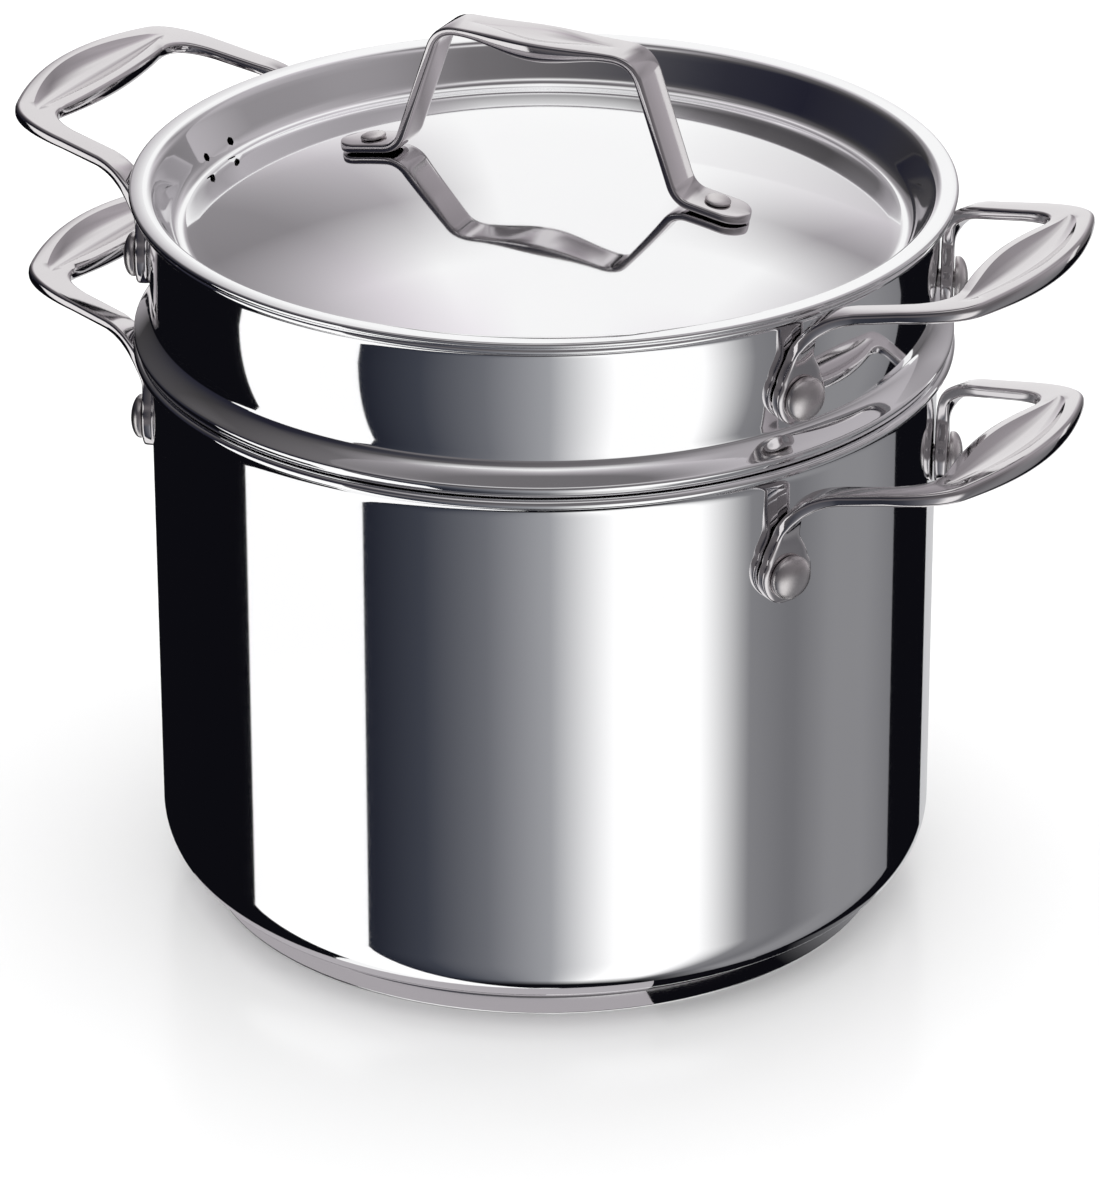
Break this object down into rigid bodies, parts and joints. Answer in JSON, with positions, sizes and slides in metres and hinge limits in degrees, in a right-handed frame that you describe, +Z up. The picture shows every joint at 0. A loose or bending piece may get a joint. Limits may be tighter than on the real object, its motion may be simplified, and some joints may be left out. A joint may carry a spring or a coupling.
{
  "type": "pasta pot",
  "caption": "Stainless pasta pot: deep pot with a thick base, a lift-out strainer insert that hangs on its rim, and a domed lid, each with riveted cast handles.",
  "frame": {"origin": "centre of the base, on the surface the pot stands on", "axes": "+Z up, +X through the pot's right side handle, -Y towards the front"},
  "size_m": [0.3476, 0.2524, 0.2779],
  "materials": {
    "polished_stainless": "mirror-polished stainless sheet",
    "cast_stainless": "polished stainless casting",
    "satin_stainless": "satin stainless",
    "core_aluminium": "mill finish, covered"
  },
  "bodies": {
    "pot": {"pot_shell": "polished_stainless", "base_core": "core_aluminium", "base_cap": "polished_stainless", "pot_handle_right": "cast_stainless", "pot_handle_left": "cast_stainless", "pot_rivet_right_front": "satin_stainless", "pot_rivet_right_back": "satin_stainless", "pot_rivet_left_back": "satin_stainless", "pot_rivet_left_front": "satin_stainless"},
    "insert": {"insert_shell": "polished_stainless", "insert_handle_right": "cast_stainless", "insert_handle_left": "cast_stainless", "insert_rivet_right_front": "satin_stainless", "insert_rivet_right_back": "satin_stainless", "insert_rivet_left_back": "satin_stainless", "insert_rivet_left_front": "satin_stainless"},
    "lid": {"lid_shell": "polished_stainless", "lid_handle": "cast_stainless", "lid_rivet_left": "satin_stainless", "lid_rivet_right": "satin_stainless"}
  },
  "joints": [
    {"name": "insert_lift", "type": "slide", "parent": "pot", "child": "insert", "axis": [0, 0, 1], "range_m": [0, 0.18]},
    {"name": "lid_lift", "type": "slide", "parent": "insert", "child": "lid", "axis": [0, 0, 1], "range_m": [0, 0.2]}
  ]
}
